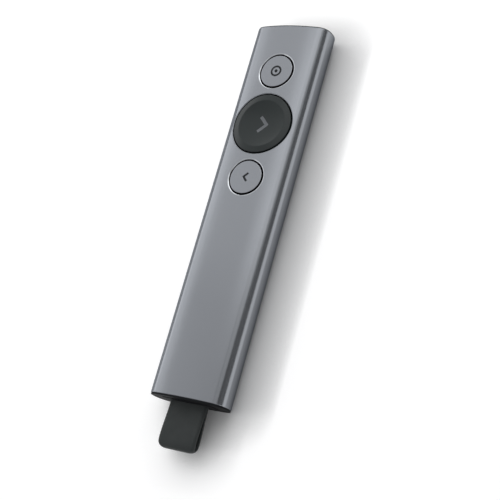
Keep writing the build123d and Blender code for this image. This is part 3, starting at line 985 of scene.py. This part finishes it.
close_material(
    tree,
    {
        "Base Color": lacquer_tone.outputs[2],
        "Roughness": lacquer_gloss.outputs[0],
        "Normal": lacquer_relief.outputs[0],
        "Specular IOR Level": 0.38,
    },
)
dress(lacquer, "next_button")

# Second-shot grey: plain satin polycarbonate.
grey_shot, tree, place = open_material("grey_polycarbonate")
speckle = add_node(
    tree, "ShaderNodeTexNoise", {}, {"Vector": place, "Scale": 3800.0, "Detail": 2.0}
)
grey_tone = add_node(
    tree,
    "ShaderNodeMix",
    {"data_type": "RGBA"},
    {"Factor": speckle.outputs["Fac"], 6: ink("#5b5e62"), 7: ink("#66696d")},
)
grey_gloss = add_node(
    tree,
    "ShaderNodeMapRange",
    {},
    {"Value": speckle.outputs["Fac"], "To Min": 0.42, "To Max": 0.5},
)
close_material(
    tree,
    {"Base Color": grey_tone.outputs[2], "Roughness": grey_gloss.outputs[0]},
)
dress(grey_shot, "next_chevron")


# ---------------------------------------------------------------- plug contacts
# Four gold-plated strips on the blade of the stowed plug, scratched lengthways by use.
gold, tree, place = open_material("gold_plated_bronze")
stroked = add_node(
    tree, "ShaderNodeMapping", {}, {"Vector": place, "Scale": (6000.0, 150.0, 6000.0)}
)
strokes = add_node(
    tree,
    "ShaderNodeTexNoise",
    {},
    {"Vector": stroked.outputs[0], "Scale": 1.0, "Detail": 2.0},
)
gold_tone = add_node(
    tree,
    "ShaderNodeMix",
    {"data_type": "RGBA"},
    {"Factor": strokes.outputs["Fac"], 6: ink("#d0a24a"), 7: ink("#ecc777")},
)
gold_gloss = add_node(
    tree,
    "ShaderNodeMapRange",
    {},
    {"Value": strokes.outputs["Fac"], "To Min": 0.18, "To Max": 0.34},
)
close_material(
    tree,
    {"Base Color": gold_tone.outputs[2], "Metallic": 1.0, "Roughness": gold_gloss.outputs[0]},
)
dress(gold, "plug_contacts")


# ---------------------------------------------------------------- pull strap
# Band of black silicone rubber folded back on itself and moulded into the receiver's end. Its
# two layers lie together at the root and part into a small loop, by which one pulls the receiver.
strap_width = 0.0137
strap_layer = 0.00115
strap_half = 0.0019
strap_middle = 0.00605
strap_root = -0.055
strap_mouth = -0.058
strap_end = -0.0733
strap_droop = math.radians(24)
strap_bow = 0.006
strap_tip = (strap_half - strap_bow * (1 - math.cos(strap_droop))) / math.cos(strap_droop)
strap_fold = strap_end + strap_tip + (strap_bow - strap_tip) * math.sin(strap_droop)
strap_corner = 0.002
strap_rounding = 0.0009
strap_easing = 0.0002
strap_spare = 0.00001
strap_steps = 28
droop_steps = 5
fold_steps = 16
bpy.ops.object.select_all(action="DESELECT")
bpy.ops.mesh.primitive_cube_add(
    size=1.0,
    location=(
        0,
        (strap_root + strap_mouth) / 2,
        strap_middle + strap_layer / 2 + strap_spare,
    ),
    scale=(strap_width, strap_root - strap_mouth, strap_layer),
)
strap = bpy.context.object
strap.name = "silicone_pull_strap"
bpy.ops.object.transform_apply(location=True, rotation=False, scale=True)


def pick(mesh, kind, wanted):
    """Selects the edges or faces of an edited mesh that pass a test."""
    bpy.ops.mesh.select_mode(type="EDGE" if kind == "edges" else "FACE")
    bpy.ops.mesh.select_all(action="DESELECT")
    bpy.ops.object.mode_set(mode="OBJECT")
    for item in getattr(mesh, kind):
        item.select = wanted(item)
    bpy.ops.object.mode_set(mode="EDIT")


def runs_along(edge, mesh, upper):
    """True for the long edges on the upper or on the lower side."""
    ends = [mesh.vertices[i].co for i in edge.vertices]
    lengthwise = abs(ends[0].y - ends[1].y) > (strap_root - strap_mouth) / 2
    return lengthwise and (ends[0].z > strap_middle + strap_layer / 2) == upper


strap_foot = strap_middle + 10 * strap_spare
bpy.ops.object.mode_set(mode="EDIT")
pick(strap.data, "edges", lambda edge: runs_along(edge, strap.data, True))
bpy.ops.mesh.bevel(offset=strap_rounding, segments=8, profile=0.5)
pick(
    strap.data,
    "edges",
    lambda edge: runs_along(edge, strap.data, False)
    and all(strap.data.vertices[i].co.z < strap_foot for i in edge.vertices),
)
bpy.ops.mesh.bevel(offset=strap_easing, segments=3, profile=0.5)
pick(strap.data, "polygons", lambda face: face.normal.y < -0.9)
rises = []
for step in range(strap_steps + 1):
    share = step / strap_steps
    rises.append((strap_half - strap_layer - strap_spare) * share * share * (3 - 2 * share))
stride = (strap_mouth - strap_fold) / strap_steps
for step in range(strap_steps):
    bpy.ops.mesh.extrude_region_move(
        TRANSFORM_OT_translate={"value": (0, -stride, rises[step + 1] - rises[step])}
    )
for steps, angle, fold_centre in (
    (droop_steps, strap_droop, (0, strap_fold, strap_middle + strap_half - strap_bow)),
    (fold_steps, math.pi - 2 * strap_droop, (0, strap_end + strap_tip, strap_middle)),
    (droop_steps, strap_droop, (0, strap_fold, strap_middle - strap_half + strap_bow)),
):
    bpy.ops.mesh.spin(steps=steps, angle=angle, center=fold_centre, axis=(-1, 0, 0))
for step in range(strap_steps, 0, -1):
    bpy.ops.mesh.extrude_region_move(
        TRANSFORM_OT_translate={"value": (0, stride, rises[step] - rises[step - 1])}
    )
bpy.ops.mesh.extrude_region_move(
    TRANSFORM_OT_translate={"value": (0, strap_root - strap_mouth, 0)}
)
bpy.ops.mesh.select_all(action="SELECT")
bpy.ops.mesh.remove_doubles(threshold=merge_distance)
bpy.ops.mesh.normals_make_consistent(inside=False)
bpy.ops.object.mode_set(mode="OBJECT")
# The loop's two corners are rounded in plan.
for vertex in strap.data.vertices:
    past = strap_corner - (vertex.co.y - strap_end)
    if past > 0:
        pull = strap_corner - math.sqrt(max(strap_corner**2 - past**2, 0))
        vertex.co.x *= 1 - pull / (strap_width / 2)
bpy.ops.object.shade_smooth_by_angle(angle=math.radians(40))

# Silicone rubber: charcoal with a faint green cast, matt and slightly waxy, with fine grain.
silicone, tree, place = open_material("moulded_silicone_rubber")
skin = add_node(
    tree, "ShaderNodeTexNoise", {}, {"Vector": place, "Scale": 3600.0, "Detail": 3.0}
)
patches = add_node(
    tree, "ShaderNodeTexNoise", {}, {"Vector": place, "Scale": 240.0, "Detail": 2.0}
)
silicone_tone = add_node(
    tree,
    "ShaderNodeMix",
    {"data_type": "RGBA"},
    {"Factor": skin.outputs["Fac"], 6: ink("#1d2323"), 7: ink("#282d2d")},
)
silicone_gloss = add_node(
    tree,
    "ShaderNodeMapRange",
    {},
    {
        "Value": patches.outputs["Fac"],
        "From Min": 0.3,
        "From Max": 0.7,
        "To Min": 0.58,
        "To Max": 0.68,
    },
)
silicone_relief = add_node(
    tree,
    "ShaderNodeBump",
    {},
    {"Strength": 0.12, "Distance": 0.00002, "Height": skin.outputs["Fac"]},
)
close_material(
    tree,
    {
        "Base Color": silicone_tone.outputs[2],
        "Roughness": silicone_gloss.outputs[0],
        "Normal": silicone_relief.outputs[0],
        "Sheen Weight": 0.14,
        "Sheen Roughness": 0.4,
    },
)
strap.data.materials.append(silicone)
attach(strap, "receiver")
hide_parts("pull_strap")


# ---------------------------------------------------------------- floor, lamps and camera
# Wide sheet of white studio card, an arch of long softboxes over the piece, and a slanted strip
# beyond its nose that lights the wells' edges. The room is pale, with a dim flag to the right.
bpy.ops.object.select_all(action="DESELECT")
bpy.ops.mesh.primitive_plane_add(size=30.0, location=(0, 0, 0))
floor = bpy.context.object
floor.name = "studio_floor"

# White card: its lamps leave it grey, so it is lifted to white for the camera and for mirrored
# rays; the lift fades where the piece stands between it and the pale left side, a painted shadow.
card, tree, place = open_material("white_studio_card")
paper = add_node(
    tree, "ShaderNodeTexNoise", {}, {"Vector": place, "Scale": 30.0, "Detail": 2.0}
)
card_tone = add_node(
    tree,
    "ShaderNodeMix",
    {"data_type": "RGBA"},
    {"Factor": paper.outputs["Fac"], 6: ink("#dadada"), 7: ink("#dedede")},
)
ray = add_node(tree, "ShaderNodeLightPath", {}, {})
seen = add_node(
    tree,
    "ShaderNodeMath",
    {"operation": "ADD"},
    {0: ray.outputs["Is Camera Ray"], 1: ray.outputs["Is Glossy Ray"]},
)
seen_or_mirrored = add_node(
    tree,
    "ShaderNodeMath",
    {"operation": "ADD", "use_clamp": True},
    {0: seen.outputs[0], 1: ray.outputs["Is Transmission Ray"]},
)
shadow_reach = 0.014
shadow_depth = 4.2
white_lift = 0.48
# Painted shadow: the lift fades with occlusion seen towards the pale left side, so a soft shadow
# falls to the piece's right.
pale_side = add_node(tree, "ShaderNodeCombineXYZ", {}, {"X": -0.86, "Y": 0.15, "Z": 0.49})
painted_shadow_occlusion = add_node(
    tree,
    "ShaderNodeAmbientOcclusion",
    {"samples": 8},
    {"Distance": shadow_reach, "Normal": pale_side.outputs[0]},
)
painted_shadow_falloff = add_node(
    tree,
    "ShaderNodeMath",
    {"operation": "POWER"},
    {0: painted_shadow_occlusion.outputs["AO"], 1: shadow_depth},
)
lift = add_node(
    tree,
    "ShaderNodeMath",
    {"operation": "MULTIPLY"},
    {0: seen_or_mirrored.outputs[0], 1: painted_shadow_falloff.outputs[0]},
)
lift_strength = add_node(
    tree,
    "ShaderNodeMath",
    {"operation": "MULTIPLY"},
    {0: lift.outputs[0], 1: white_lift},
)
close_material(
    tree,
    {
        "Base Color": card_tone.outputs[2],
        "Roughness": 1.0,
        "Specular IOR Level": 0.0,
        "Emission Color": (1.0, 1.0, 1.0, 1.0),
        "Emission Strength": lift_strength.outputs[0],
    },
)
floor.data.materials.append(card)


def hang_softbox(name, direction, middle, size, radiance, long_side=(0, 1, 0)):
    """Rectangular lamp that faces the piece. Radiance 1 looks as white as paper."""
    bpy.ops.object.light_add(type="AREA", location=middle)
    lamp = bpy.context.object
    lamp.name = name
    lamp.data.shape = "RECTANGLE"
    lamp.data.size, lamp.data.size_y = size
    lamp.data.energy = math.pi * size[0] * size[1] * radiance
    outwards = Vector(direction).normalized()
    lengthwise = Vector(long_side) - outwards * outwards.dot(Vector(long_side))
    lengthwise.normalize()
    across = lengthwise.cross(outwards)
    turn = Matrix((across, lengthwise, outwards)).transposed()
    lamp.rotation_euler = turn.to_euler()


# Each softbox of the arch: where it starts and stops round the long axis (0 is to the right, 90
# is up), where it starts and stops along it, and its radiance.
arch = 0.75
arch_middle = 0.006
for name, low, high, start, stop, radiance in (
    ("softbox_left", 143.0, 167.0, -0.5, 0.9, 1.07),
    ("softbox_top_tail", 84.0, 143.0, -0.5, 0.16, 0.3),
    ("softbox_top_nose", 103.0, 143.0, 0.16, 0.9, 0.47),
    ("softbox_right_tail", 54.0, 82.0, -0.5, 0.16, 0.42),
    ("softbox_right_nose", 54.0, 103.0, 0.16, 0.9, 0.97),
    ("softbox_right_edge", 38.0, 54.0, 0.16, 0.9, 0.45),
    ("softbox_low_right", 5.0, 38.0, -0.5, 0.9, 0.1),
):
    angle = math.radians((low + high) / 2)
    outwards = (math.cos(angle), 0.0, math.sin(angle))
    hang_softbox(
        name,
        outwards,
        (arch * outwards[0], (start + stop) / 2, arch * outwards[2] + arch_middle),
        (2 * arch * math.tan(math.radians((high - low) / 2)), stop - start),
        radiance,
    )
# The slanted strip: how high it hangs, how far round from +X, and how far away.
rise = math.radians(22)
beside = math.radians(85)
strip_distance = 1.6
towards = (math.cos(beside) * math.cos(rise), math.sin(beside) * math.cos(rise), math.sin(rise))
hang_softbox(
    "softbox_beyond_nose",
    towards,
    tuple(strip_distance * c for c in towards),
    size=(0.5, 2.4),
    radiance=2.6,
    long_side=(1.1, -0.26, 0.4),
)

# Room: pale, but for the flag, a dim upright band on its right side, a little towards the nose.
pale_wall = 0.45
dim_flag = 0.12
flag_middle = 0.26
world = bpy.data.worlds.new("studio_air")
bpy.context.scene.world = world
world.use_nodes = True
room = world.node_tree
gaze = add_node(room, "ShaderNodeTexCoord", {}, {}).outputs["Generated"]
leftwards = add_node(
    room,
    "ShaderNodeVectorMath",
    {"operation": "DOT_PRODUCT"},
    {0: gaze, 1: (-0.707, 0.707, 0.0)},
)
to_pale_side = add_node(
    room,
    "ShaderNodeMapRange",
    {"interpolation_type": "SMOOTHSTEP"},
    {"Value": leftwards.outputs["Value"], "From Min": -0.3, "From Max": 0.6},
)
gaze_parts = add_node(room, "ShaderNodeSeparateXYZ", {}, {0: gaze})
from_flag = add_node(
    room,
    "ShaderNodeMath",
    {"operation": "SUBTRACT"},
    {0: gaze_parts.outputs["Y"], 1: flag_middle},
)
off_flag = add_node(
    room,
    "ShaderNodeMath",
    {"operation": "ABSOLUTE"},
    {0: from_flag.outputs[0]},
)
past_flag = add_node(
    room,
    "ShaderNodeMapRange",
    {"interpolation_type": "SMOOTHSTEP"},
    {"Value": off_flag.outputs[0], "From Min": 0.28, "From Max": 0.58},
)
pale = add_node(
    room,
    "ShaderNodeMath",
    {"operation": "MAXIMUM"},
    {0: to_pale_side.outputs[0], 1: past_flag.outputs[0]},
)
wall_light = add_node(
    room,
    "ShaderNodeMapRange",
    {},
    {"Value": pale.outputs[0], "To Min": dim_flag, "To Max": pale_wall},
)
background = room.nodes["Background"]
background.inputs["Color"].default_value = ink("#f9fafc")
room.links.new(wall_light.outputs[0], background.inputs["Strength"])

# Camera: the matrix's columns are its right, its upper side and the way back from the piece.
bpy.ops.object.camera_add(location=(0.20315, -0.10619, 0.32438))
camera = bpy.context.object
camera.rotation_euler = Matrix(
    (
        (0.85473, -0.10177, 0.50901),
        (0.265, 0.92873, -0.25929),
        (-0.44634, 0.35651, 0.82078),
    )
).to_euler()
camera.data.lens = 86.6
camera.data.sensor_width = 36.0
camera.data.clip_start = 0.01
bpy.context.scene.camera = camera
bpy.context.scene.view_settings.view_transform = "Standard"
